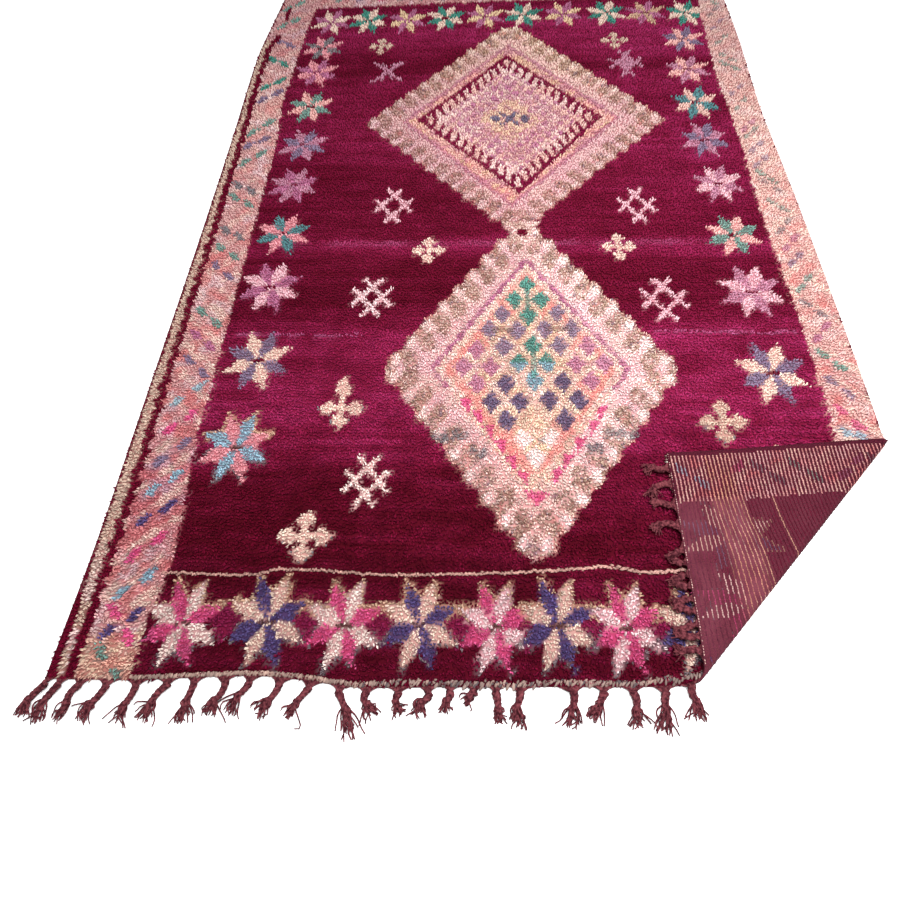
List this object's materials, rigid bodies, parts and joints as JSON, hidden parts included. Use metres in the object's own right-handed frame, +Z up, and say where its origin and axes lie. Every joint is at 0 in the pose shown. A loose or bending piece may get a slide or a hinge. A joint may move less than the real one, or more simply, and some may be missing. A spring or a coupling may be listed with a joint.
{
  "type": "boujaad rug",
  "caption": "Hand-knotted wool pile rug laid flat with one corner turned over, bordered field, two joined lozenges and a plaited fringe at one end.",
  "frame": {"origin": "bottom centre of the bounding box of the whole rug, fringe included, on the floor it lies on", "axes": "+Z up; +Y along the rug's length, away from the fringed near end; +X across it, so that the turned-over corner is at +X, -Y"},
  "size_m": [2.0219, 2.8968, 0.031],
  "materials": {
    "knotted_wool": "soft hand-knotted wool pile, maroon field with ivory, peach and violet motifs",
    "plaited_warp": "plaited maroon-brown wool warp ends, frayed at the tips"
  },
  "bodies": {
    "root": {"pile_cloth": "knotted_wool", "fringe_near_end": "plaited_warp", "fringe_turned_end": "plaited_warp"}
  },
  "joints": []
}
